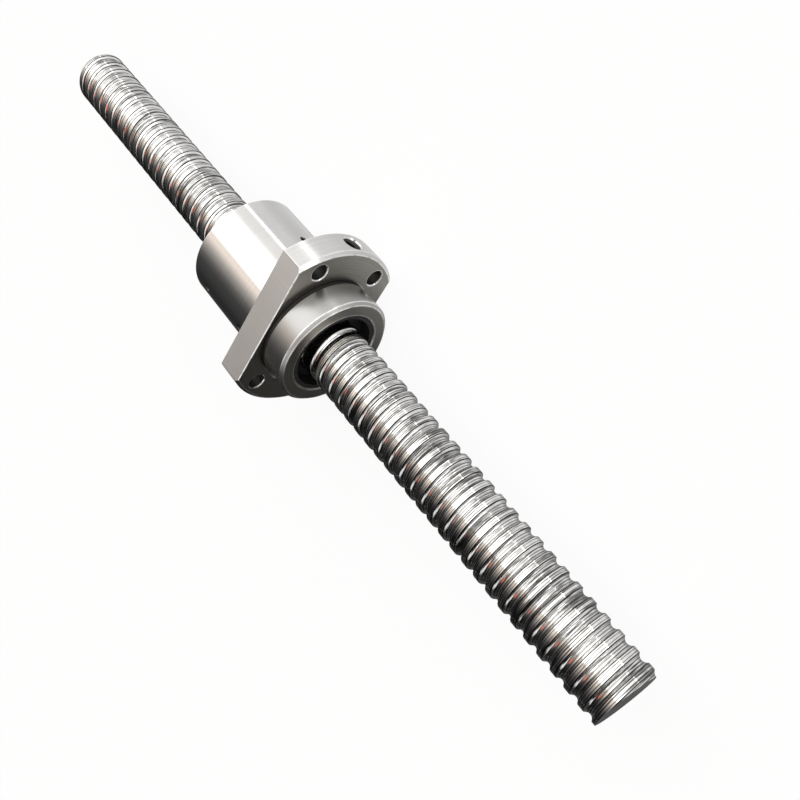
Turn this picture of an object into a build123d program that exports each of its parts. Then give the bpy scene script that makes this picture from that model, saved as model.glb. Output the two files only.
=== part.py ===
from build123d import *
import os
from math import acos, atan2, ceil, cos, degrees, dist, isclose, radians, sin

# Ball screw with a flanged nut
# The screw's axis is X, and X grows towards the nose of the nut. The origin is on the axis,
# in the flange's mounting face. +Y points at the oil port, and +Z at one of the two flats.
# Angles round the axis start at +Y and grow towards +Z, so a right-hand thread moves
# towards +X as its angle grows.

# Thread and balls. The lands of the screw and the nut stand off the balls' circle.
lead = 5.0
ball_diameter = 3.175
ball_clearance = 0.2125
ball_circle_diameter = 21.3
screw_land_depth = 0.85
nut_land_height = 0.2
screw_rear_end = -141.0
screw_front_end = 146.0

# Nut
body_diameter = 38.0
body_length = 32.5
body_end_chamfer = 0.8
flange_thickness = 9.5
flat_overhang = 1.0
flange_front_chamfer = 1.0
flange_rear_chamfer = 0.4
flat_edge_break = 0.3
nose_overhang = 0.3
nose_length = 11.0
nose_front_chamfer = 1.0
nose_undercut_width = 1.8
nose_undercut_depth = 0.5
bore_mouth_chamfer = 0.4

# Bolt holes, two on each side of the flats, with the walls that they leave beside them
bolt_inner_wall = 2.35
bolt_outer_wall = 2.55
bolt_angle_from_y = 30.0
bolt_hole_diameter = 5.3
bolt_hole_chamfer = 0.3

# Oil port in the flange's rim: tapped part, countersink and the narrow way to the track
oil_tap_diameter = 5.0
oil_tap_depth = 8.0
oil_sink_diameter = 6.8
oil_way_diameter = 2.5

# Wipers and their seats in both ends of the nut
wiper_wall = 4.5
front_seat_depth = 7.5
rear_seat_depth = 2.6
wiper_web = 2.4
wiper_sleeve_wall = 1.2
wiper_below_face = 0.5
wiper_fit = 0.05
wiper_gap = 0.4

# Ball circuits: each is one turn of track, closed by a return insert in the nut's wall.
# The second insert is the one whose peg hole shows beside the oil port.
circuit_count = 4
circuit_step_angle = 120.0
second_insert_angle = 5.0
second_insert_x = -11.0
balls_per_circuit = 20
balls_per_group = 5
return_half_angle = 35.0
return_gap = 0.15

# Return insert: an oblong plug with a locating peg
insert_length = 16.0
insert_width = 7.8
insert_height = 14.6
insert_foot_angle = 50.0
channel_half_angle = 60.0
insert_fit = 0.05
peg_diameter = 1.7
peg_length = 2.4
peg_hole_diameter = 1.8
peg_hole_sink_diameter = 2.6

# Points that a track's section, a circuit and a return channel are worked out at
track_points = 9
circuit_points = 720
channel_points = 13

# Sizes that follow from the ones above
ball_circle_radius = ball_circle_diameter / 2
track_radius = ball_diameter / 2 + ball_clearance
screw_radius = ball_circle_radius - screw_land_depth
nut_land_radius = ball_circle_radius + nut_land_height
seat_radius = screw_radius + wiper_wall
body_radius = body_diameter / 2
nose_radius = body_radius + nose_overhang
flat_height = body_radius + flat_overhang
bolt_radius = body_radius + bolt_inner_wall + bolt_hole_diameter / 2
flange_radius = bolt_radius + bolt_hole_diameter / 2 + bolt_outer_wall
body_rear = -body_length
nose_front = flange_thickness + nose_length
track_rear = body_rear + rear_seat_depth
track_front = nose_front - front_seat_depth
insert_foot = ball_circle_radius * cos(radians(insert_foot_angle))
circuit_step = lead * (1 + circuit_step_angle / 360)
insert_places = [
    (second_insert_x - i * circuit_step, second_insert_angle - i * circuit_step_angle)
    for i in range(-1, circuit_count - 1)
]
# The track's middle is at +Y here. An insert sits on the land, half a lead from its track.
track_origin = second_insert_x + lead / 2 - lead * second_insert_angle / 360


def radial_plane(x, angle, height):
    """Plane facing outwards at an angle round the axis, with its own x along the axis."""
    outward = Vector(0, cos(radians(angle)), sin(radians(angle)))
    return Plane(origin=Vector(x, 0, 0) + outward * height, x_dir=(1, 0, 0), z_dir=outward)


def track_section(land_radius, radius, outward):
    """Section across the axis of a body with one round track, whose middle is on +Y.

    Along the axis the track is part of a circle round the ball's centre. A point of it that
    lies off the middle by some length along the axis is turned by that share of the lead.
    """
    side = 1 if outward else -1
    half = degrees(acos(side * (land_radius - ball_circle_radius) / radius))
    track = []
    for i in range(track_points):
        across = radians(half * (2 * i / (track_points - 1) - 1))
        turned = radians(360 * radius * sin(across) / lead)
        r = ball_circle_radius + side * radius * cos(across)
        track.append((r * cos(turned), r * sin(turned)))
    with BuildSketch(Plane.YZ) as section:
        with BuildLine():
            Spline(*track)
            ThreePointArc(track[-1], (-land_radius, 0), track[0])
        make_face()
    return section.sketch.face()


def threaded_core(section, start, end):
    """Solid along the axis whose section turns once per lead, in phase with the track."""
    count = ceil((end - start) / lead)
    step = (end - start) / count
    turn = 360 * step / lead
    first = Pos(start, 0, 0) * Rot(X=360 * (start - track_origin) / lead) * section
    piece = Solid.extrude_linear_with_rotation(first, (start, 0, 0), (step, 0, 0), turn)
    rear, *sides, front = piece.faces().sort_by(Axis.X)
    faces = [rear, Pos((count - 1) * step, 0, 0) * Rot(X=(count - 1) * turn) * front]
    for i in range(count):
        faces += [Pos(i * step, 0, 0) * Rot(X=i * turn) * side for side in sides]
    return Solid(Shell(faces))


def return_point(place, angle):
    """Centre of a ball in the return, at an angle from the insert's middle.

    The ball leaves one turn of the track, is lifted over the screw's land and drops into
    the turn before. Outside the return angle it is in the track.
    """
    x, middle = place
    t = max(-1, min(1, angle / return_half_angle))
    lift = screw_radius + ball_diameter / 2 + return_gap - ball_circle_radius
    r = ball_circle_radius + lift * (1 - t**4) ** 2
    along = x + lead * angle / 360 - lead / 2 * (3 * t - t**3) / 2
    turned = radians(middle + angle)
    return Vector(along, r * cos(turned), r * sin(turned))


def circuit_point(place, angle):
    """Centre of a ball in a circuit, from the start of the return round to its start again."""
    if angle <= return_half_angle:
        return return_point(place, angle)
    x, middle = place
    turned = radians(middle + angle)
    along = x - lead / 2 + lead * angle / 360
    r = ball_circle_radius
    return Vector(along, r * cos(turned), r * sin(turned))


def ball_centres(place):
    """Ball centres spread evenly along a circuit, the first ones in the return."""
    angles = [360 * i / circuit_points - return_half_angle for i in range(circuit_points + 1)]
    points = [circuit_point(place, a) for a in angles]
    lengths = [0.0]
    for a, b in zip(points, points[1:]):
        lengths.append(lengths[-1] + dist(tuple(a), tuple(b)))
    centres = []
    for i in range(balls_per_circuit):
        wanted = lengths[-1] * (i + 0.5) / balls_per_circuit
        centres.append(next(p for p, done in zip(points, lengths) if done >= wanted))
    return centres


def insert_slot(place, height, margin):
    """Sketch of an insert's oblong outline, tilted along the way that the balls cross."""
    x, angle = place
    run = 2 * radians(return_half_angle) * ball_circle_radius
    tilt = degrees(atan2(lead, run))
    with BuildSketch(radial_plane(x, angle, height)) as outline:
        SlotOverall(insert_length + 2 * margin, insert_width + 2 * margin, rotation=90 - tilt)
    return outline.sketch


def wiper_bore(start, end):
    """Core that leaves a wiper's lip lying in the screw's track without touching it."""
    section = track_section(screw_radius + wiper_gap, track_radius - wiper_gap, False)
    return threaded_core(section, start, end)


def write(part, name):
    """Label a finished piece and write it as its own file."""
    part.label = name
    export_step(part, f"parts/{name}.step")


os.makedirs("parts", exist_ok=True)

# Screw shaft: one round bar with a ground or rolled track along all of it
screw_section = track_section(screw_radius, track_radius, False)
with BuildPart() as screw_shaft:
    add(threaded_core(screw_section, screw_rear_end, screw_front_end))
write(screw_shaft.part, "screw_shaft")

# Nut body: turned in one piece with its flange and nose
with BuildPart() as nut_body:
    with BuildSketch(Plane.XY):
        with BuildLine():
            Polyline(
                (track_rear, 0),
                (track_rear, seat_radius),
                (body_rear, seat_radius),
                (body_rear, body_radius - body_end_chamfer),
                (body_rear + body_end_chamfer, body_radius),
                (0, body_radius),
                (0, flange_radius - flange_rear_chamfer),
                (flange_rear_chamfer, flange_radius),
                (flange_thickness - flange_front_chamfer, flange_radius),
                (flange_thickness, flange_radius - flange_front_chamfer),
                (flange_thickness, nose_radius - nose_undercut_depth),
                (
                    flange_thickness + nose_undercut_width - nose_undercut_depth,
                    nose_radius - nose_undercut_depth,
                ),
                (flange_thickness + nose_undercut_width, nose_radius),
                (nose_front - nose_front_chamfer, nose_radius),
                (nose_front, nose_radius - nose_front_chamfer),
                (nose_front, seat_radius + bore_mouth_chamfer),
                (nose_front - bore_mouth_chamfer, seat_radius),
                (track_front, seat_radius),
                (track_front, 0),
                close=True,
            )
        make_face()
    revolve(axis=Axis.X)

    # Two flats milled on the flange, with their edges broken
    removed = flange_radius - flat_height
    with BuildSketch(Plane.YZ):
        with Locations((0, flat_height + removed / 2), (0, -flat_height - removed / 2)):
            Rectangle(2 * flange_radius, removed)
    extrude(amount=flange_thickness, mode=Mode.SUBTRACT)
    flats = [
        face
        for face in nut_body.faces().filter_by(Axis.Z)
        if isclose(abs(face.center().Z), flat_height)
    ]
    chamfer([edge for face in flats for edge in face.edges().filter_by(Axis.Y)], flat_edge_break)

    # Bolt holes, a pair on each side
    bolt_y = bolt_radius * cos(radians(bolt_angle_from_y))
    bolt_z = bolt_radius * sin(radians(bolt_angle_from_y))
    with BuildSketch(Plane.YZ):
        with GridLocations(2 * bolt_y, 2 * bolt_z, 2, 2):
            Circle(bolt_hole_diameter / 2)
    extrude(amount=flange_thickness, mode=Mode.SUBTRACT)
    bolt_edges = [
        edge
        for edge in nut_body.edges().filter_by(GeomType.CIRCLE)
        if isclose(edge.radius, bolt_hole_diameter / 2)
    ]
    chamfer(bolt_edges, bolt_hole_chamfer)

    # Oil port from the rim down to the track
    with Locations(radial_plane(flange_thickness / 2, 0, flange_radius)):
        CounterSinkHole(oil_tap_diameter / 2, oil_sink_diameter / 2, oil_tap_depth)
        Hole(oil_way_diameter / 2, flange_radius - ball_circle_radius)

    # The helical track, cut through the land between the two wiper seats
    add(
        threaded_core(track_section(nut_land_radius, track_radius, True), track_rear, track_front),
        mode=Mode.SUBTRACT,
    )

    # Pockets for the return inserts, each with its peg hole to the outside
    for place in insert_places:
        extrude(
            insert_slot(place, insert_height + insert_fit, insert_fit),
            amount=insert_foot - insert_height - insert_fit,
            mode=Mode.SUBTRACT,
        )
        with Locations(radial_plane(place[0], place[1], body_radius)):
            CounterSinkHole(
                peg_hole_diameter / 2, peg_hole_sink_diameter / 2, body_radius - insert_height
            )
write(nut_body.part, "nut_body")

# Return inserts: oblong plugs with a channel that lifts the balls over the screw's land
for number, place in enumerate(insert_places, 1):
    with BuildPart() as insert:
        extrude(insert_slot(place, insert_height, 0), amount=insert_foot - insert_height)
        with BuildSketch(Plane.YZ.offset(place[0] - insert_length)):
            Circle(nut_land_radius)
        extrude(amount=2 * insert_length, mode=Mode.SUBTRACT)
        with BuildSketch(radial_plane(place[0], place[1], insert_height)):
            Circle(peg_diameter / 2)
        extrude(amount=peg_length)
        with BuildLine() as way:
            Spline(
                *[
                    return_point(place, channel_half_angle * (2 * i / (channel_points - 1) - 1))
                    for i in range(channel_points)
                ]
            )
        with BuildSketch(Plane(origin=way.line @ 0, z_dir=way.line % 0)):
            Circle(track_radius)
        sweep(path=way.line, mode=Mode.SUBTRACT)
    write(insert.part, f"return_insert_{number}")

# Balls: each circuit holds one train, in groups of loaded balls and one of returning balls
for number, place in enumerate(insert_places, 1):
    centres = ball_centres(place)
    for group in range(balls_per_circuit // balls_per_group):
        first = group * balls_per_group
        name = f"circuit_{number}_load_balls_{group}" if group else f"circuit_{number}_return_balls"
        with BuildPart() as balls:
            with Locations(*centres[first : first + balls_per_group]):
                Sphere(ball_diameter / 2)
        write(balls.part, name)

# Front wiper: a cup with a sleeve along the deep seat and a web with a threaded lip
sleeve_radius = seat_radius - wiper_fit
with BuildPart() as front_wiper:
    with BuildSketch(Plane.XY):
        with BuildLine():
            Polyline(
                (track_front, 0),
                (track_front, sleeve_radius),
                (nose_front - wiper_below_face, sleeve_radius),
                (nose_front - wiper_below_face, sleeve_radius - wiper_sleeve_wall),
                (track_front + wiper_web, sleeve_radius - wiper_sleeve_wall),
                (track_front + wiper_web, 0),
                close=True,
            )
        make_face()
    revolve(axis=Axis.X)
    add(wiper_bore(track_front, track_front + wiper_web), mode=Mode.SUBTRACT)
write(front_wiper.part, "front_wiper")

# Rear wiper: a plain disc with the same lip
with BuildPart() as rear_wiper:
    with BuildSketch(Plane.YZ.offset(track_rear - wiper_web)):
        Circle(sleeve_radius)
    extrude(amount=wiper_web)
    add(wiper_bore(track_rear - wiper_web, track_rear), mode=Mode.SUBTRACT)
write(rear_wiper.part, "rear_wiper")
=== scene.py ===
# %% [markdown]
# # Ball screw with a flanged nut
#
# The real object is a steel bar with a round track rolled into it as a long screw, and a nut
# that travels on it. Between the two run four trains of small balls, each lifted over the
# screw's land and sent back by an insert in the nut's wall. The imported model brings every
# one of these pieces as exact solids, so this file has two jobs: it makes the one shape that
# an exact solid shows too plainly, the screw's rolled thread, and it gives each piece the
# finish of its steel or plastic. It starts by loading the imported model, in metres, with the
# screw's axis on X, the oil port at +Y and one flat of the flange up, at +Z.

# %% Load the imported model
import bmesh
import bpy
from math import cos, pi, radians, sin, sqrt, tau
from mathutils import Euler, Matrix, Vector


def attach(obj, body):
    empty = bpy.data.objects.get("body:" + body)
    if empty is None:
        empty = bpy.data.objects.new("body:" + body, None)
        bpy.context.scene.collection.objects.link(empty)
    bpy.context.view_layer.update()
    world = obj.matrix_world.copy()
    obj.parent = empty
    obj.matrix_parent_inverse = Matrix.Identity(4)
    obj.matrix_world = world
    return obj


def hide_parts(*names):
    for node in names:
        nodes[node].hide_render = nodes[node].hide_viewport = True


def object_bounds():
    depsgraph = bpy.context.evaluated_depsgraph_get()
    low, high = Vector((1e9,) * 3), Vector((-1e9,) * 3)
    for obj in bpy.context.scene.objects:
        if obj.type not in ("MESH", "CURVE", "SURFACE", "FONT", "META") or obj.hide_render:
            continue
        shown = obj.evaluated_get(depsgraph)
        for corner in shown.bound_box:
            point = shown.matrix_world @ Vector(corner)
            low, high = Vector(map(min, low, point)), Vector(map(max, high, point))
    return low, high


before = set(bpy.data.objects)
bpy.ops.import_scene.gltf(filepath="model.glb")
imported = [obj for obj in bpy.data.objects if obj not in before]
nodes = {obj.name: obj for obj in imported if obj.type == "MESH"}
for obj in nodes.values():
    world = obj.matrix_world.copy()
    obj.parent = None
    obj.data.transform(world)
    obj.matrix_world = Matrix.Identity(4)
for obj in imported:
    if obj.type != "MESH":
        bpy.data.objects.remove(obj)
cad_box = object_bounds()
MM = 0.001

# %% [markdown]
# ## Camera
#
# The camera stands above the nut's front, on the oil port's side, at about a quarter of a
# metre. Its place and turn were fitted to the thread's crests, the flange, the holes and the
# bore, so each of them lands on the same pixels as in the photograph. The photograph was cut
# out of a wider picture, and a small shift of the lens stands for that.

# %% Camera
PLACE = Vector((0.160764, 0.120549, 0.199056))
TURN = Euler((radians(-5.3829), radians(43.8423), radians(40.8498)))
SENSOR = 36
IMAGE_WIDTH, FOCAL_LENGTH = 800, 894.87  # in pixels
camera_data = bpy.data.cameras.new("camera")
camera = bpy.data.objects.new("camera", camera_data)
bpy.context.scene.collection.objects.link(camera)
camera.matrix_world = Matrix.LocRotScale(PLACE, TURN, None)
camera_data.sensor_width = SENSOR
camera_data.lens = SENSOR * FOCAL_LENGTH / IMAGE_WIDTH
camera_data.shift_x = 0.1
camera_data.shift_y = 0.05
camera_data.clip_start = 0.01
bpy.context.scene.camera = camera
print("lens:", round(camera_data.lens, 1), "mm")

# %% [markdown]
# ## A helper for node trees
#
# Geometry and shader trees are both chains of small nodes. One helper adds a node and fills
# its inputs in order, from plain values or from other nodes' sockets, so each tree below
# reads as a list of steps.

# %% Helper for node trees
def node(tree, kind, *inputs, **settings):
    """Add a node. An input is a socket to link, a value to set, or None to leave alone."""
    made = tree.nodes.new(kind)
    for name, value in settings.items():
        setattr(made, name, value)
    for socket, value in zip(made.inputs, inputs):
        if isinstance(value, bpy.types.NodeSocket):
            tree.links.new(value, socket)
        elif value is not None:
            socket.default_value = value
    return made


def sums(tree, operation, *inputs):
    """One Math node, as its output socket."""
    return node(tree, "ShaderNodeMath", *inputs, operation=operation).outputs[0]


def stops(tree, value, places):
    """A colour ramp over a value from 0 to 1: each place is a position and a colour."""
    ramp = node(tree, "ShaderNodeValToRGB", value)
    elements = ramp.color_ramp.elements
    while len(elements) < len(places):
        elements.new(0.5)
    for element, (position, *colour) in zip(elements, places):
        element.position = position
        element.color = (*colour, 1)
    return ramp.outputs[0]


def new_tree(name, kind, inputs, outputs):
    """A node group with named inputs and outputs, and the sockets inside it."""
    tree = bpy.data.node_groups.new(name, kind)
    for label, socket_type, value in inputs:
        socket = tree.interface.new_socket(label, in_out="INPUT", socket_type=socket_type)
        if value is not None:
            socket.default_value = value
    for label, socket_type in outputs:
        tree.interface.new_socket(label, in_out="OUTPUT", socket_type=socket_type)
    entry = tree.nodes.new("NodeGroupInput")
    leave = tree.nodes.new("NodeGroupOutput")
    return tree, entry.outputs, leave.inputs


print("helpers: node, sums, stops, new_tree")

# %% [markdown]
# ## The thread as a rule
#
# A rolled ball track is one groove that climbs a fixed lead each turn. Its section is two
# arcs that meet in a faint line at the bottom, and the land between two turns has rounded
# shoulders, which give the bar its bright double lines. A helix drawn by hand or a chain of
# copies would show seams, so a grid is wrapped round the axis instead: one side of the grid
# runs along the helix, the other across one lead, and the radius follows from the distance to
# the track's middle. Each turn meets the next exactly, and the doubles are merged.

# %% Geometry tree for a helical thread
thread_tree, given, result = new_tree(
    "helical thread",
    "GeometryNodeTree",
    [
        ("Turns", "NodeSocketInt", 60),
        ("Steps per turn", "NodeSocketInt", 56),
        ("Points across", "NodeSocketInt", 24),
        ("Start", "NodeSocketFloat", 0.0),
        ("Lead", "NodeSocketFloat", 5 * MM),
        ("Land radius", "NodeSocketFloat", 9.8 * MM),
        ("Groove centre radius", "NodeSocketFloat", 10.3 * MM),
        ("Groove radius", "NodeSocketFloat", 1.8 * MM),
        ("Groove offset", "NodeSocketFloat", 0.0),
        ("Shoulder", "NodeSocketFloat", 0.3 * MM),
        ("Material", "NodeSocketMaterial", None),
    ],
    [("Mesh", "NodeSocketGeometry")],
)
columns = sums(thread_tree, "MULTIPLY", given["Turns"], given["Steps per turn"])
grid = node(
    thread_tree, "GeometryNodeMeshGrid", 1.0, 1.0, sums(thread_tree, "ADD", columns, 1.0),
    given["Points across"],
)
place = node(thread_tree, "GeometryNodeInputPosition")
split = node(thread_tree, "ShaderNodeSeparateXYZ", place.outputs[0]).outputs
along = sums(thread_tree, "MULTIPLY", sums(thread_tree, "ADD", split["X"], 0.5), given["Turns"])
spread = node(thread_tree, "ShaderNodeFloatCurve", 1.0, sums(thread_tree, "ADD", split["Y"], 0.5))
# Two spans on each half land, five on each shoulder, nine in the groove
points = spread.mapping.curves[0].points
for x, y in ((2 / 23, 0.145), (7 / 23, 0.215), (16 / 23, 0.785), (21 / 23, 0.855)):
    points.new(x, y)
for point in points:
    point.handle_type = "VECTOR"
spread.mapping.update()
offset = sums(
    thread_tree, "MULTIPLY", sums(thread_tree, "SUBTRACT", spread.outputs[0], 0.5), given["Lead"]
)
off_middle = sums(thread_tree, "ABSOLUTE", offset)
reach = sums(thread_tree, "POWER", sums(thread_tree, "ADD", off_middle, given["Groove offset"]), 2.0)
drop = sums(thread_tree, "SUBTRACT", sums(thread_tree, "POWER", given["Groove radius"], 2.0), reach)
arc = sums(thread_tree, "SQRT", sums(thread_tree, "MAXIMUM", drop, 0.0))
groove = sums(thread_tree, "SUBTRACT", given["Groove centre radius"], arc)
radius = sums(thread_tree, "SMOOTH_MIN", groove, given["Land radius"], given["Shoulder"])
angle = sums(thread_tree, "MULTIPLY", along, tau)
wrapped = node(
    thread_tree,
    "ShaderNodeCombineXYZ",
    sums(
        thread_tree, "ADD",
        sums(thread_tree, "MULTIPLY_ADD", along, given["Lead"], given["Start"]), offset,
    ),
    sums(thread_tree, "MULTIPLY", radius, sums(thread_tree, "COSINE", angle)),
    sums(thread_tree, "MULTIPLY", radius, sums(thread_tree, "SINE", angle)),
)
across = sums(thread_tree, "DIVIDE", off_middle, given["Lead"])
marked = node(
    thread_tree, "GeometryNodeStoreNamedAttribute", grid.outputs["Mesh"], True, "across", across
)
moved = node(
    thread_tree, "GeometryNodeSetPosition", marked.outputs[0], True, wrapped.outputs[0]
)
merged = node(thread_tree, "GeometryNodeMergeByDistance", moved.outputs[0], True, 0.002 * MM)
real = node(thread_tree, "GeometryNodeRealizeInstances", merged.outputs[0])
finished = node(
    thread_tree, "GeometryNodeSetMaterial", real.outputs[0], True, given["Material"]
)
thread_tree.links.new(finished.outputs[0], result[0])
print("thread tree:", len(thread_tree.nodes), "nodes")


# %% [markdown]
# ## From tree to piece
#
# The tree is run on an empty mesh through a modifier, and its result is taken as a plain mesh.
# The thread is made a turn too long at both ends and then cut square, which is how a bar is
# sawn to length, and the cut is closed.

# %% Run a tree, cut it and close it
def thread_mesh(name, material, rear, front, flip=False, **values):
    """A thread from the tree, cut by planes at rear and front on X and closed there."""
    carrier = bpy.data.objects.new(name + "_carrier", bpy.data.meshes.new(name + "_carrier"))
    bpy.context.scene.collection.objects.link(carrier)
    modifier = carrier.modifiers.new("thread", "NODES")
    modifier.node_group = thread_tree
    for item in thread_tree.interface.items_tree:
        if item.in_out == "INPUT":
            label = item.name.replace(" ", "_").lower()
            if label == "material":
                modifier[item.identifier] = material
            elif label in values:
                modifier[item.identifier] = values[label]
    graph = bpy.context.evaluated_depsgraph_get()
    mesh = bpy.data.meshes.new_from_object(carrier.evaluated_get(graph))
    bpy.data.objects.remove(carrier)
    shape = bmesh.new()
    shape.from_mesh(mesh)
    for x, away in ((rear, -1), (front, 1)):
        cut = bmesh.ops.bisect_plane(
            shape, geom=shape.verts[:] + shape.edges[:] + shape.faces[:],
            plane_co=(x, 0, 0), plane_no=(away, 0, 0), clear_outer=True,
        )
        rim = [e for e in cut["geom_cut"] if isinstance(e, bmesh.types.BMEdge) and e.is_boundary]
        bmesh.ops.contextual_create(shape, geom=rim)
    bmesh.ops.recalc_face_normals(shape, faces=shape.faces)
    if flip:
        bmesh.ops.reverse_faces(shape, faces=shape.faces)
    for face in shape.faces:
        face.smooth = True
    shape.to_mesh(mesh)
    shape.free()
    mesh.name = name
    mesh.set_sharp_from_angle(angle=0.7)
    piece = bpy.data.objects.new(name, mesh)
    bpy.context.scene.collection.objects.link(piece)
    print(name, "triangles:", sum(len(p.vertices) - 2 for p in mesh.polygons))
    return piece


# %% [markdown]
# ## Where a point lies on a turned part
#
# All of the nut was made on a lathe, and its marks are rings round the axis. The first shader
# group works out from the Object coordinates how far a point is from the axis, and adds that
# to its place along the axis. On a cylinder and on a flat face alike, that sum grows across
# the marks and stays the same along them.

# %% Shader group: round the axis
axis_group, given, result = new_tree(
    "round the axis",
    "ShaderNodeTree",
    [],
    [
        ("Along", "NodeSocketFloat"),
        ("Radius", "NodeSocketFloat"),
        ("Side", "NodeSocketFloat"),
        ("Up", "NodeSocketFloat"),
        ("Across marks", "NodeSocketFloat"),
    ],
)
where = node(axis_group, "ShaderNodeTexCoord").outputs["Object"]
parts = node(axis_group, "ShaderNodeSeparateXYZ", where).outputs
squares = sums(
    axis_group, "MULTIPLY_ADD", parts["Y"], parts["Y"],
    sums(axis_group, "MULTIPLY", parts["Z"], parts["Z"]),
)
from_axis = sums(axis_group, "SQRT", squares)
axis_group.links.new(parts["X"], result["Along"])
axis_group.links.new(from_axis, result["Radius"])
axis_group.links.new(parts["Y"], result["Side"])
axis_group.links.new(parts["Z"], result["Up"])
axis_group.links.new(sums(axis_group, "ADD", parts["X"], from_axis), result["Across marks"])
print("group:", axis_group.name)

# %% [markdown]
# ## Tool marks
#
# A grinding wheel or a turning tool leaves lines a few hundredths of a millimetre apart, never
# evenly deep. A noise that is read only across the marks, at two scales, gives them, and it is
# also what makes a ground cylinder smear its highlight along the axis and keep it sharp round
# the axis. A slow noise over the whole surface changes the sheen from place to place.

# %% Shader group: tool marks
marks_group, given, result = new_tree(
    "tool marks",
    "ShaderNodeTree",
    [
        ("Across marks", "NodeSocketFloat", 0.0),
        ("Spacing", "NodeSocketFloat", 0.1 * MM),
        ("Seed", "NodeSocketFloat", 0.0),
    ],
    [("Height", "NodeSocketFloat"), ("Sheen", "NodeSocketFloat")],
)
lines = sums(marks_group, "DIVIDE", given["Across marks"], given["Spacing"])
fine = node(
    marks_group, "ShaderNodeTexNoise", None, sums(marks_group, "ADD", lines, given["Seed"]), 1.0,
    3.0, 0.6, noise_dimensions="1D",
)
coarse = node(
    marks_group, "ShaderNodeTexNoise", None, sums(marks_group, "MULTIPLY", lines, 0.13), 1.0, 2.0,
    0.5, noise_dimensions="1D",
)
cloud = node(
    marks_group, "ShaderNodeTexNoise", node(marks_group, "ShaderNodeTexCoord").outputs["Object"],
    None, 90.0, 3.0, 0.55,
)
height = sums(
    marks_group, "MULTIPLY_ADD", fine.outputs[0], 0.7,
    sums(marks_group, "MULTIPLY", coarse.outputs[0], 0.5),
)
sheen = sums(
    marks_group, "MULTIPLY_ADD", coarse.outputs[0], 0.5,
    sums(marks_group, "MULTIPLY", cloud.outputs[0], 0.5),
)
marks_group.links.new(height, result["Height"])
marks_group.links.new(sheen, result["Sheen"])
print("group:", marks_group.name)


# %% [markdown]
# ## Steel
#
# Every metal here is bare steel, so the materials share one build: a metallic Principled
# shader whose colour, roughness and bump come from the marks. Only the numbers differ, from
# the polished balls to the dull sintered inserts.

# %% Materials
def new_material(name):
    """An empty node material, with its Principled shader and its tree."""
    material = bpy.data.materials.new(name)
    material.use_nodes = True
    tree = material.node_tree
    return material, tree, tree.nodes["Principled BSDF"]


def ramp(tree, value, low, high, start=0.0, end=1.0):
    """A value that moves from start to end as another moves from low to high."""
    return node(tree, "ShaderNodeMapRange", value, low, high, start, end).outputs[0]


# A noise hardly ever leaves this range
NOISE_LOW, NOISE_HIGH = 0.3, 0.7


def between(tree, noise, low, high):
    """A value that a noise moves from low to high."""
    return ramp(tree, noise, NOISE_LOW, NOISE_HIGH, low, high)


def tint(tree, noise, dark, light):
    """A colour that a noise moves from dark to light."""
    return stops(tree, noise, [(NOISE_LOW, *dark), (NOISE_HIGH, *light)])


def mix(tree, share, plain, other, blend="MIX"):
    """Two colours joined. As it stands, it shows the other one where the share is 1."""
    return node(tree, "ShaderNodeMixRGB", share, plain, other, blend_type=blend).outputs[0]


def group(tree, source, *inputs):
    """A node group placed in a material, as its outputs."""
    made = node(tree, "ShaderNodeGroup", node_tree=source)
    for socket, value in zip(made.inputs, inputs):
        if isinstance(value, bpy.types.NodeSocket):
            tree.links.new(value, socket)
        else:
            socket.default_value = value
    return made.outputs


MARK_SEED = 3.0


def turned_steel(name, dark, light, spacing, rough, depth):
    """Bare steel with tool marks round the axis."""
    material, tree, shader = new_material(name)
    spot = group(tree, axis_group)
    marks = group(tree, marks_group, spot["Across marks"], spacing, MARK_SEED)
    tree.links.new(tint(tree, marks["Sheen"], dark, light), shader.inputs["Base Color"])
    tree.links.new(between(tree, marks["Sheen"], *rough), shader.inputs["Roughness"])
    bump = node(tree, "ShaderNodeBump", 1.0, depth, None, marks["Height"])
    tree.links.new(bump.outputs[0], shader.inputs["Normal"])
    shader.inputs["Metallic"].default_value = 1.0
    return material


insert_steel = turned_steel(
    "sintered insert steel", (0.07, 0.068, 0.065), (0.12, 0.115, 0.11), spacing=0.3 * MM,
    rough=(0.45, 0.6), depth=0.004 * MM,
)
ball_steel = turned_steel(
    "polished ball steel", (0.74, 0.74, 0.74), (0.80, 0.80, 0.80), spacing=0.4 * MM,
    rough=(0.04, 0.07), depth=0.0001 * MM,
)
print("materials:", [m.name for m in bpy.data.materials])

# %% [markdown]
# ## Edges and holes
#
# Handling and deburring polish an edge, and it is painted bright along a thin line, a painted
# highlight where it catches the light; a drilled hole is rough and painted dark inside, as
# painted shade. Both are masks round a line in space: a ring round the axis, a straight edge
# along it or the middle line of a hole. One group takes the two distances that place such a
# line, puts out how far a point is from it, and the masks are read from that.

# %% Shader groups: distance from a line, and edge wear with a painted highlight
line_group, given, result = new_tree(
    "distance from a line",
    "ShaderNodeTree",
    [
        ("First", "NodeSocketFloat", 0.0),
        ("Second", "NodeSocketFloat", 0.0),
        ("Line first", "NodeSocketFloat", 0.0),
        ("Line second", "NodeSocketFloat", 0.0),
    ],
    [("Distance", "NodeSocketFloat")],
)
off_first = sums(line_group, "SUBTRACT", given["First"], given["Line first"])
off_second = sums(line_group, "SUBTRACT", given["Second"], given["Line second"])
apart = sums(
    line_group, "SQRT",
    sums(
        line_group, "MULTIPLY_ADD", off_first, off_first,
        sums(line_group, "MULTIPLY", off_second, off_second),
    ),
)
line_group.links.new(apart, result["Distance"])

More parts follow.
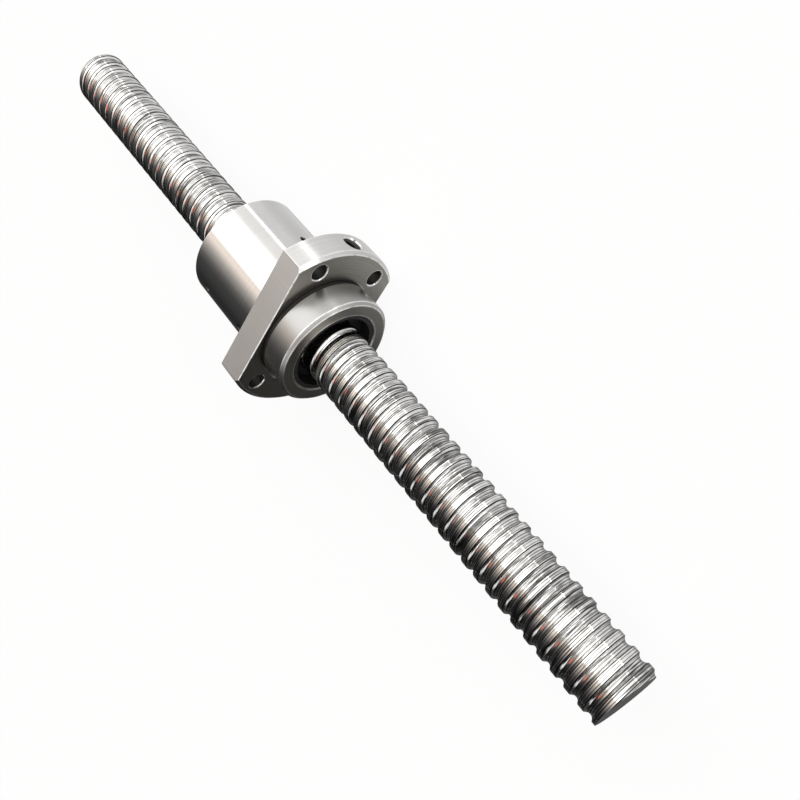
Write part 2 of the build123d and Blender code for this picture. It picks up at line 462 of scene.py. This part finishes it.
edge_wear_and_highlight_group, given, result = new_tree(
    "worn edge with painted highlight",
    "ShaderNodeTree",
    [("Distance", "NodeSocketFloat", 0.0), ("Mask so far", "NodeSocketFloat", 0.0)],
    [("Mask", "NodeSocketFloat")],
)
near = node(
    edge_wear_and_highlight_group, "ShaderNodeMapRange", given["Distance"], 0.1 * MM, 0.35 * MM, 1.0, 0.0
).outputs[0]
patch = node(
    edge_wear_and_highlight_group, "ShaderNodeTexNoise", node(edge_wear_and_highlight_group, "ShaderNodeTexCoord").outputs["Object"],
    None, 600.0, 2.0, 0.5,
)
broken = node(edge_wear_and_highlight_group, "ShaderNodeMapRange", patch.outputs[0], 0.3, 0.5, 0.4, 1.0).outputs[0]
mask = sums(
    edge_wear_and_highlight_group, "MAXIMUM", sums(edge_wear_and_highlight_group, "MULTIPLY", near, broken), given["Mask so far"]
)
edge_wear_and_highlight_group.links.new(mask, result["Mask"])
print("groups:", line_group.name, "and", edge_wear_and_highlight_group.name)

# %% [markdown]
# ## Where the nut's finishes are
#
# The nut is one piece of steel with several finishes. Its body is ground bright, because it
# fits a bored housing. The nose and the flange's rim are turned, the flats are milled and
# painted brighter as painted light, and the faces are painted a duller, browner tone. Each
# finish is a mask between two distances that the axis group gives, and the nut's own sizes,
# in millimetres, say where the masks lie. X is 0 at the flange's rear face.

# %% Nut sizes and finish masks
BODY_RADIUS, BODY_REAR, BODY_CHAMFER = 19.0, -32.5, 0.8
FLANGE_RADIUS, FLANGE_FRONT, FLAT_HEIGHT = 29.2, 9.5, 20.0
FLANGE_CHAMFER, FLANGE_REAR_CHAMFER, FLAT_EDGE_BREAK = 1.0, 0.4, 0.3
NOSE_RADIUS, NOSE_FRONT, NOSE_CHAMFER = 19.3, 20.5, 1.0
nut_steel, tree, shader = new_material("nut steel")
spot = group(tree, axis_group)
along, radius = spot["Along"], spot["Radius"]
side_away = sums(tree, "ABSOLUTE", spot["Side"])
up_away = sums(tree, "ABSOLUTE", spot["Up"])


def beyond(value, low, high):
    """A mask in the nut's tree that goes from 0 at low to 1 at high, both in millimetres."""
    return ramp(tree, value, low * MM, high * MM)


def both(*masks):
    """The place on the nut where every one of some masks holds."""
    found = masks[0]
    for mask in masks[1:]:
        found = sums(tree, "MULTIPLY", found, mask)
    return found


outside_body = beyond(radius, BODY_RADIUS + 0.4, BODY_RADIUS + 0.6)
on_face = sums(
    tree, "MAXIMUM",
    both(outside_body, beyond(along, FLANGE_FRONT - 0.2, FLANGE_FRONT - 0.05)),
    both(outside_body, beyond(along, 0.15, 0.05)),
)
on_face = sums(tree, "MAXIMUM", on_face, beyond(along, NOSE_FRONT - 0.2, NOSE_FRONT - 0.05))
on_flat = both(outside_body, beyond(up_away, FLAT_HEIGHT - 0.15, FLAT_HEIGHT - 0.05))
on_nose = beyond(along, FLANGE_FRONT - 0.1, FLANGE_FRONT + 0.1)
# On the flats the marks are straight, because a milling cutter made them
across = sums(
    tree, "MULTIPLY_ADD", on_flat,
    sums(tree, "SUBTRACT", spot["Side"], spot["Across marks"]), spot["Across marks"],
)
marks = group(tree, marks_group, across, 0.12 * MM, MARK_SEED)
print("finish masks on", nut_steel.name)

# %% [markdown]
# ## Holes in the nut
#
# The bolt holes, the oil port and the peg holes are drilled. They and the undercut at the
# nose's foot are painted dark inside, as painted shade in these recesses. A hole's mask is the
# space round its middle line, stopped just short of the faces that it opens in.

# %% Hole masks, for painted shade inside
BOLT_CIRCLE_RADIUS, BOLT_ANGLE, BOLT_HOLE_RADIUS = 24.0, radians(30), 2.65
BOLT_SIDE = BOLT_CIRCLE_RADIUS * cos(BOLT_ANGLE)
BOLT_UP = BOLT_CIRCLE_RADIUS * sin(BOLT_ANGLE)
PORT_ALONG, PORT_RIM_RADIUS = FLANGE_FRONT / 2, 3.15
INSERT_TOP, UNDERCUT_WIDTH = 14.6, 1.8


def from_line(first, second, line_first, line_second):
    """Distance on the nut from a line, whose place is in millimetres."""
    return group(tree, line_group, first, second, line_first * MM, line_second * MM)["Distance"]


from_bolt = from_line(side_away, up_away, BOLT_SIDE, BOLT_UP)
bolt_hole = both(
    beyond(from_bolt, BOLT_HOLE_RADIUS + 0.09, BOLT_HOLE_RADIUS + 0.05),
    beyond(along, 0.25, 0.35), beyond(along, FLANGE_FRONT - 0.25, FLANGE_FRONT - 0.35),
)
from_port = from_line(along, spot["Up"], PORT_ALONG, 0.0)
oil_hole = both(
    beyond(from_port, PORT_RIM_RADIUS - 0.2, PORT_RIM_RADIUS - 0.3),
    beyond(spot["Side"], 16.0, 17.0), beyond(radius, FLANGE_RADIUS - 0.2, FLANGE_RADIUS - 0.4),
)
peg_hole = both(
    beyond(radius, BODY_RADIUS - 0.03, BODY_RADIUS - 0.07),
    beyond(radius, INSERT_TOP + 0.1, INSERT_TOP + 0.2),
    beyond(along, -0.3, -0.4), beyond(along, BODY_REAR + 1.0, BODY_REAR + 1.1),
)
undercut = both(
    beyond(radius, NOSE_RADIUS - 0.05, NOSE_RADIUS - 0.15),
    beyond(along, FLANGE_FRONT - 0.1, FLANGE_FRONT),
    beyond(along, FLANGE_FRONT + UNDERCUT_WIDTH, FLANGE_FRONT + UNDERCUT_WIDTH - 0.2),
)
# The holes and the undercut are painted dark inside: painted shade
holes_painted_dark = bolt_hole
for hole in (oil_hole, peg_hole, undercut):
    holes_painted_dark = sums(tree, "MAXIMUM", holes_painted_dark, hole)
print("hole masks: bolts, oil port, pegs, undercut")

# %% [markdown]
# ## Worn edges of the nut, with a painted highlight
#
# Every chamfer has two edges, and both are worn and painted bright, a painted highlight. The
# turned ones are rings, each given by its place along the axis and its radius, and so are the
# mouths of the two wipers' seats.
# The flats end in straight edges, and the bolt holes and the oil port have a rim each.

# %% Edge mask, for wear and a painted highlight
SEAT_RADIUS, MOUTH_CHAMFER = 14.3, 0.4
EDGE_RINGS = (
    (FLANGE_FRONT, FLANGE_RADIUS - FLANGE_CHAMFER),
    (FLANGE_FRONT - FLANGE_CHAMFER, FLANGE_RADIUS),
    (FLANGE_REAR_CHAMFER, FLANGE_RADIUS),
    (0.0, FLANGE_RADIUS - FLANGE_REAR_CHAMFER),
    (NOSE_FRONT, NOSE_RADIUS - NOSE_CHAMFER),
    (NOSE_FRONT - NOSE_CHAMFER, NOSE_RADIUS),
    (NOSE_FRONT, SEAT_RADIUS + MOUTH_CHAMFER),
    (BODY_REAR, BODY_RADIUS - BODY_CHAMFER),
    (BODY_REAR + BODY_CHAMFER, BODY_RADIUS),
    (BODY_REAR, SEAT_RADIUS),
)
# This mask paints the edges bright: wear with a painted highlight on top
edges = 0.0
for x, ring_radius in EDGE_RINGS:
    ring = from_line(along, radius, x, ring_radius)
    edges = group(tree, edge_wear_and_highlight_group, ring, edges)["Mask"]
half_break = FLAT_EDGE_BREAK / 2
for x in (FLANGE_FRONT - half_break, half_break):
    straight = from_line(along, up_away, x, FLAT_HEIGHT - half_break)
    edges = group(tree, edge_wear_and_highlight_group, straight, edges)["Mask"]
FLAT_END = sqrt(FLANGE_RADIUS**2 - FLAT_HEIGHT**2)
for rim in (
    from_line(side_away, up_away, FLAT_END, FLAT_HEIGHT),
    from_line(from_bolt, along, BOLT_HOLE_RADIUS + 0.2, FLANGE_FRONT - 0.05),
    from_line(from_port, spot["Side"], PORT_RIM_RADIUS, FLANGE_RADIUS - 0.4),
):
    edges = group(tree, edge_wear_and_highlight_group, rim, edges)["Mask"]
print("worn, highlight-painted rings:", len(EDGE_RINGS))

# %% [markdown]
# ## Nut steel
#
# With the masks in place, the material itself is short: each finish has a dark and a light
# tone that the sheen of the marks moves between, and a step in roughness. The edges are
# painted brighter, a painted highlight, and are smoother; the holes are painted darker, as
# painted shade, and are rougher.

# %% Nut material
sheen = marks["Sheen"]
ground = tint(tree, sheen, (0.66, 0.65, 0.64), (0.72, 0.71, 0.70))
# The faces are painted a duller, browner tone
dull_face_tone = tint(tree, sheen, (0.26, 0.25, 0.225), (0.33, 0.315, 0.285))
# The flats are painted brighter: painted light
milled_painted_bright = tint(tree, sheen, (0.91, 0.90, 0.885), (0.94, 0.93, 0.915))
satin = tint(tree, sheen, (0.43, 0.425, 0.415), (0.47, 0.465, 0.455))
colour = ground
for mask, tone in (
    (on_nose, satin),
    (on_face, dull_face_tone),
    (on_flat, milled_painted_bright),
    # Edges painted bright: a painted highlight on their wear
    (edges, (0.9, 0.89, 0.88, 1)),
    # Holes painted dark: painted shade, a little less dark in the bolt holes
    (holes_painted_dark, (0.07, 0.067, 0.063, 1)),
    (bolt_hole, (0.14, 0.137, 0.13, 1)),
):
    colour = mix(tree, mask, colour, tone)
tree.links.new(colour, shader.inputs["Base Color"])

rough = between(tree, sheen, 0.09, 0.14)
for mask, more in (
    (outside_body, 0.10), (on_nose, 0.19), (on_face, 0.08), (on_flat, 0.20), (edges, -0.1),
    (holes_painted_dark, 0.3),
):
    rough = sums(tree, "MULTIPLY_ADD", mask, more, rough)
tree.links.new(rough, shader.inputs["Roughness"])
# The flats are smoother than the turned faces
firm = sums(tree, "MULTIPLY_ADD", on_flat, -0.8, 1.0)
bump = node(tree, "ShaderNodeBump", firm, 0.00025 * MM, None, marks["Height"])
tree.links.new(bump.outputs[0], shader.inputs["Normal"])
shader.inputs["Metallic"].default_value = 1.0
print("material:", nut_steel.name)

# %% [markdown]
# ## Screw steel
#
# The track is rolled, so it is satin, and the land is ground and polished. The attribute that
# the thread tree stored, the distance from the track's middle in leads, tells the two apart,
# and a fixed row of greys across it paints bright and dark lines on every turn: painted
# highlights and painted reflections.
# A noise that runs fast across the track and slowly along it draws the lines that the rolls
# leave. It reads the place in space too, so no two turns have the same lines. Nearer the axis
# than the track ever comes, there is only the sawn end, which has rings of its own.

# %% Screw material
screw_steel, tree, shader = new_material("rolled screw steel")
off_track = node(tree, "ShaderNodeAttribute", attribute_name="across").outputs["Fac"]
spot = group(tree, axis_group)
lines = node(
    tree, "ShaderNodeCombineXYZ", sums(tree, "MULTIPLY", off_track, 9.0),
    sums(tree, "MULTIPLY", spot["Side"], 80.0), sums(tree, "MULTIPLY", spot["Up"], 80.0),
)
rolled = node(
    tree, "ShaderNodeTexNoise", lines.outputs[0], sums(tree, "MULTIPLY", spot["Along"], 150.0),
    1.0, 3.0, 0.6, noise_dimensions="4D",
)
cloud = node(
    tree, "ShaderNodeTexNoise", node(tree, "ShaderNodeTexCoord").outputs["Object"], None, 160.0,
    3.0, 0.55,
)
on_land = ramp(tree, off_track, 0.31, 0.34)
# Painted highlights and painted dark reflection lines, as greys from the track's middle to the
# middle of the land
PAINTED_LINES_ACROSS_THE_TRACK = (
    (0.0, 0.16), (0.028, 0.16), (0.043, 0.93), (0.115, 0.88), (0.128, 0.18), (0.16, 0.18),
    (0.175, 0.96), (0.225, 0.85), (0.275, 0.93), (0.29, 0.03), (0.33, 0.03), (0.343, 0.96),
    (0.395, 0.93), (0.405, 0.28), (0.437, 0.28), (0.447, 0.96), (0.5, 0.90),
)
# These greys paint bright and dark lines on every turn: painted highlights and painted reflections
painted_track_lines = stops(
    tree, sums(tree, "MULTIPLY", off_track, 2.0),
    [(2 * share, grey, 0.99 * grey, 0.97 * grey) for share, grey in PAINTED_LINES_ACROSS_THE_TRACK],
)
scores = ramp(tree, rolled.outputs[0], 0.40, 0.50, 0.22, 1.0)
colour = mix(tree, 1.0, painted_track_lines, scores, "MULTIPLY")
BALL_CIRCLE_RADIUS, TRACK_RADIUS = 10.65, 1.8
TRACK_BOTTOM = BALL_CIRCLE_RADIUS - TRACK_RADIUS
sawn = ramp(tree, spot["Radius"], (TRACK_BOTTOM - 0.01) * MM, (TRACK_BOTTOM - 0.05) * MM)
SAW_SEED = 7.0
rings = group(tree, marks_group, spot["Radius"], 0.15 * MM, SAW_SEED)
end_steel = tint(tree, rings["Sheen"], (0.50, 0.495, 0.485), (0.62, 0.615, 0.605))
tree.links.new(mix(tree, sawn, colour, end_steel), shader.inputs["Base Color"])
rough = sums(tree, "MULTIPLY_ADD", on_land, -0.07, between(tree, cloud.outputs[0], 0.13, 0.2))
tree.links.new(sums(tree, "MULTIPLY_ADD", sawn, 0.15, rough), shader.inputs["Roughness"])
firm = sums(tree, "MULTIPLY_ADD", on_land, -0.7, 1.0)
# The sawn end has no rolled lines
firm = sums(tree, "MAXIMUM", sums(tree, "SUBTRACT", firm, sawn), 0.0)
bump = node(tree, "ShaderNodeBump", firm, 0.12 * MM, None, rolled.outputs[0])
tree.links.new(bump.outputs[0], shader.inputs["Normal"])
shader.inputs["Metallic"].default_value = 1.0
print("material:", screw_steel.name)

# %% [markdown]
# ## Wiper plastic
#
# The wipers are moulded in black plastic. They sit in shadow, so the finish is a matt black
# with the faint grain of the mould.

# %% Wiper material
wiper_plastic, tree, shader = new_material("black wiper plastic")
grain = node(
    tree, "ShaderNodeTexNoise", node(tree, "ShaderNodeTexCoord").outputs["Object"], None, 2500.0,
    2.0, 0.5,
)
tree.links.new(
    tint(tree, grain.outputs[0], (0.008, 0.008, 0.008), (0.016, 0.016, 0.015)),
    shader.inputs["Base Color"],
)
tree.links.new(between(tree, grain.outputs[0], 0.5, 0.65), shader.inputs["Roughness"])
bump = node(tree, "ShaderNodeBump", 1.0, 0.01 * MM, None, grain.outputs[0])
tree.links.new(bump.outputs[0], shader.inputs["Normal"])
print("material:", wiper_plastic.name)

# %% [markdown]
# ## The screw
#
# The thread keeps the solid's numbers to about a hundredth of a millimetre: a lead of 5 mm, a
# land of 9.81 mm radius, balls on a circle of 10.65 mm radius and a track of 1.8 mm radius.
# The groove's two arcs are set a little apart, as the rolls are. The track passes +Y at
# -3.569 mm, and the mesh starts 29 turns before that, more than a turn behind the bar's end.

# %% Screw piece
LEAD, LAND_RADIUS = 5 * MM, 9.81 * MM
SCREW_ENDS = (-141 * MM, 146 * MM)
TRACK_AT_PORT_SIDE = -3.5694 * MM
TURNS_BEFORE = 29
screw = thread_mesh(
    "rolled_screw", screw_steel, *SCREW_ENDS,
    turns=60, start=TRACK_AT_PORT_SIDE - TURNS_BEFORE * LEAD, lead=LEAD,
    land_radius=LAND_RADIUS, groove_centre_radius=BALL_CIRCLE_RADIUS * MM,
    groove_radius=TRACK_RADIUS * MM, groove_offset=0.05 * MM, shoulder=0.15 * MM,
)
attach(screw, "screw")
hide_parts("screw_shaft")

# %% [markdown]
# ## The oil port's thread
#
# The oil port is tapped for a fitting, and its thread shows as small bright arcs in the dark
# hole. The same tree makes it, seen from inside: its grooves are the ridges that stand in the
# hole. It is made along X and then turned to stand along Y in the flange's rim.

# %% Oil port thread
PORT_DEPTHS = (21.3 * MM, 28.2 * MM)
port = thread_mesh(
    "oil_port_thread", nut_steel, *PORT_DEPTHS, flip=True,
    turns=10, steps_per_turn=40, start=20 * MM, lead=1 * MM,
    land_radius=2.51 * MM, groove_centre_radius=2.55 * MM, groove_radius=0.3 * MM,
    shoulder=0.05 * MM,
)
shape = bmesh.new()
shape.from_mesh(port.data)
# The two cuts are the only faces with many corners
cuts = [face for face in shape.faces if len(face.verts) > 8]
bmesh.ops.delete(shape, geom=cuts, context="FACES_ONLY")
# The sleeve gets an outer wall, which lies inside the nut's metal
bmesh.ops.solidify(shape, geom=shape.faces[:], thickness=0.1 * MM)
bmesh.ops.recalc_face_normals(shape, faces=shape.faces)
widths = [vert.co.yz.length / MM for vert in shape.verts]
open_edges = sum(not edge.is_manifold for edge in shape.edges)
print("sleeve radius:", round(min(widths), 2), round(max(widths), 2), "open edges:", open_edges)
shape.to_mesh(port.data)
shape.free()
to_port = Matrix.Translation((PORT_ALONG * MM, 0, 0)) @ Matrix.Rotation(pi / 2, 4, "Z")
port.data.transform(to_port)
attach(port, "nut")

# %% [markdown]
# ## Finishes on the exact solids
#
# The nut, the inserts, the balls and the wipers keep their solids and get their materials by
# name.

# %% Assign materials
finishes = {
    "nut_body": nut_steel,
    "return_insert": insert_steel,
    "circuit": ball_steel,
    "front_wiper": wiper_plastic,
    "rear_wiper": wiper_plastic,
    "screw_shaft": screw_steel,
}
for name, piece in nodes.items():
    finish = next(m for start, m in finishes.items() if name.startswith(start))
    piece.data.materials.clear()
    piece.data.materials.append(finish)
print("finished nodes:", len(nodes))

# %% [markdown]
# ## Floor
#
# The nut lies on the lower flat of its flange, and the background is plain white. The floor
# is pale and takes the object's shadow, and the camera sees most of it as white. Bright metal
# is only as good as what it mirrors: for glossy rays the floor glows with greys painted by
# their place on Y, a painted reflection of the white floor on the oil port's side and of a
# black card on the far side, which is what a photographer lays there to give polished steel
# its dark edge.

# %% Floor
FLOOR_HALF = 6.0
FLOOR_HEIGHT = cad_box[0][2] - 0.1 * MM
floor_mesh = bpy.data.meshes.new("floor")
corners = [
    (x * FLOOR_HALF, y * FLOOR_HALF, FLOOR_HEIGHT) for x, y in ((-1, -1), (1, -1), (1, 1), (-1, 1))
]
floor_mesh.from_pydata(corners, [], [(0, 1, 2, 3)])
floor = bpy.data.objects.new("floor", floor_mesh)
bpy.context.scene.collection.objects.link(floor)
floor_paint, tree, shader = new_material("white floor")
shader.inputs["Base Color"].default_value = (0.95, 0.95, 0.95, 1)
shader.inputs["Roughness"].default_value = 0.9
rays = node(tree, "ShaderNodeLightPath").outputs
spot = node(
    tree, "ShaderNodeSeparateXYZ", node(tree, "ShaderNodeTexCoord").outputs["Object"]
).outputs
# The painted greys that metal mirrors in place of a card and the floor, by their place on Y in
# metres
HALF_STRIP = 0.1
PAINTED_MIRROR_GREYS = (
    (-0.08, 0.03), (-0.01, 0.12), (0.0, 0.16), (0.013, 0.50), (0.018, 0.78), (0.028, 0.74),
    (0.04, 0.73), (0.08, 0.88),
)
greys = stops(
    tree, sums(tree, "MULTIPLY_ADD", spot["Y"], 0.5 / HALF_STRIP, 0.5),
    [(0.5 + y / HALF_STRIP / 2, grey, grey, grey) for y, grey in PAINTED_MIRROR_GREYS],
)
white = node(tree, "ShaderNodeEmission", (1, 1, 1, 1), 1.0)
# For glossy rays the floor glows with the painted greys: a painted reflection of a card and floor
mirrored = node(tree, "ShaderNodeEmission", greys, 1.0)
WHITE_SHARE = 0.92
seen = node(
    tree, "ShaderNodeMixShader", sums(tree, "MULTIPLY", rays["Is Camera Ray"], WHITE_SHARE)
)
tree.links.new(shader.outputs[0], seen.inputs[1])
tree.links.new(white.outputs[0], seen.inputs[2])
shown = node(tree, "ShaderNodeMixShader", rays["Is Glossy Ray"])
tree.links.new(seen.outputs[0], shown.inputs[1])
tree.links.new(mirrored.outputs[0], shown.inputs[2])
tree.links.new(shown.outputs[0], tree.nodes["Material Output"].inputs["Surface"])
floor_mesh.materials.append(floor_paint)
print("floor at", round(FLOOR_HEIGHT / MM, 1), "mm")

# %% [markdown]
# ## The studio's light by direction
#
# A cylinder mirrors the room as a band round its axis, so the room's light is given by two
# angles. Round the axis there is a grey wall with one narrow window on the oil port's side, a
# large bright softbox above it, and past the top a warm fall to a dark room. Towards the front
# of the screw the room has more contrast, with a darker end past the top. Along the axis the
# softbox has dark gaps, as a row of lamps has: the straight body of the nut mirrors one place
# of that row only, and the round track sweeps over all of it, which draws the fine bright and
# dark lines on the screw.

# %% Light round the axis, in degrees, and along it, from -1 to 1
ROUND_THE_AXIS = [
    (-180, (0.04, 0.04, 0.04)),
    (-120, (0.66, 0.66, 0.66)),
    (-56, (0.74, 0.74, 0.74)),
    (-14, (0.93, 0.93, 0.92)),
    (-9, (1.05, 1.05, 1.05)),
    (-8, (3.0, 3.0, 3.0)),
    (3, (3.0, 3.0, 3.0)),
    (4, (1.08, 1.07, 1.06)),
    (26, (1.16, 1.15, 1.13)),
    (38, (1.9, 1.9, 1.88)),
    (86, (1.9, 1.9, 1.88)),
    (90, (1.15, 1.05, 0.93)),
    (97, (1.28, 1.12, 1.0)),
    (104, (0.95, 0.85, 0.78)),
    (110, (0.66, 0.61, 0.56)),
    (117, (0.42, 0.40, 0.38)),
    (131, (0.16, 0.15, 0.145)),
    (145, (0.07, 0.07, 0.07)),
    (180, (0.035, 0.035, 0.035)),
]
AHEAD_OF_THE_NUT = [
    (-56, (0.84, 0.84, 0.84)),
    (-9, (1.2, 1.2, 1.2)),
    (-8, (3.0, 3.0, 3.0)),
    (3, (3.0, 3.0, 3.0)),
    (4, (1.3, 1.3, 1.28)),
    (28, (1.4, 1.4, 1.38)),
    (38, (1.95, 1.95, 1.93)),
    (82, (1.9, 1.9, 1.88)),
    (87, (0.95, 0.88, 0.80)),
    (97, (0.80, 0.71, 0.63)),
    (106, (0.46, 0.41, 0.375)),
    (117, (0.24, 0.225, 0.21)),
    (131, (0.085, 0.08, 0.08)),
    (150, (0.03, 0.03, 0.03)),
    (180, (0.02, 0.02, 0.02)),
]
ALONG_THE_AXIS = [
    (-1.0, 0.3), (-0.93, 0.3), (-0.87, 1.0), (0.1, 1.0), (0.16, 0.15), (0.34, 0.15),
    (0.42, 1.1), (0.72, 1.1), (0.80, 0.25), (1.0, 0.25),
]
print("sky:", len(ROUND_THE_AXIS), "stops round the axis,", len(ALONG_THE_AXIS), "along it")

# %% [markdown]
# ## World
#
# The two lists become colour ramps over the direction of a mirrored ray, and their product is
# the room. A lamp in front of the nut and a dim orange one, where the softbox ends, are added
# to it. The camera itself looks past all that at plain white.

# %% World
world = bpy.data.worlds.new("studio")
bpy.context.scene.world = world
world.use_nodes = True
tree = world.node_tree
background = tree.nodes["Background"]
ray = node(
    tree, "ShaderNodeSeparateXYZ", node(tree, "ShaderNodeTexCoord").outputs["Generated"]
).outputs
around = sums(tree, "ARCTAN2", ray["Z"], ray["Y"])
turned = sums(tree, "MULTIPLY_ADD", around, 1 / tau, 0.5)
light, light_ahead = [
    stops(tree, turned, [(angle / 360 + 0.5, *colour) for angle, colour in places])
    for places in (ROUND_THE_AXIS, AHEAD_OF_THE_NUT)
]
light = mix(tree, ramp(tree, ray["X"], -0.5, -0.42), light, light_ahead)
gaps = stops(
    tree, sums(tree, "MULTIPLY_ADD", ray["X"], 0.5, 0.5),
    [(x / 2 + 0.5, share, share, share) for x, share in ALONG_THE_AXIS],
)
room = mix(tree, 1.0, light, gaps, "MULTIPLY")
SIDE_LAMP = [(0.52, 0, 0, 0), (0.57, 0.9, 0.9, 0.9), (0.74, 0.9, 0.9, 0.9), (0.79, 0, 0, 0)]
room = mix(tree, 1.0, room, stops(tree, ray["X"], SIDE_LAMP), "ADD")

GLOW_ROUND, GLOW_SPREAD = 2.0, 0.24
GLOW_ALONG, GLOW_LENGTH = 0.28, 0.18
off_round = sums(tree, "DIVIDE", sums(tree, "SUBTRACT", around, GLOW_ROUND), GLOW_SPREAD)
off_along = sums(tree, "DIVIDE", sums(tree, "SUBTRACT", ray["X"], GLOW_ALONG), GLOW_LENGTH)
apart = group(tree, line_group, off_round, off_along, 0.0, 0.0)["Distance"]
room = mix(tree, ramp(tree, apart, 0.55, 1.0, 1.0, 0.0), room, (0.9, 0.12, 0.02, 1))
tree.links.new(room, background.inputs["Color"])
plain = node(tree, "ShaderNodeBackground", (1, 1, 1, 1), 1.0)
pick = node(
    tree, "ShaderNodeMixShader", node(tree, "ShaderNodeLightPath").outputs["Is Camera Ray"]
)
tree.links.new(background.outputs[0], pick.inputs[1])
tree.links.new(plain.outputs[0], pick.inputs[2])
tree.links.new(pick.outputs[0], tree.nodes["World Output"].inputs["Surface"])
bpy.context.scene.view_settings.view_transform = "Standard"
print("world:", len(tree.nodes), "nodes")
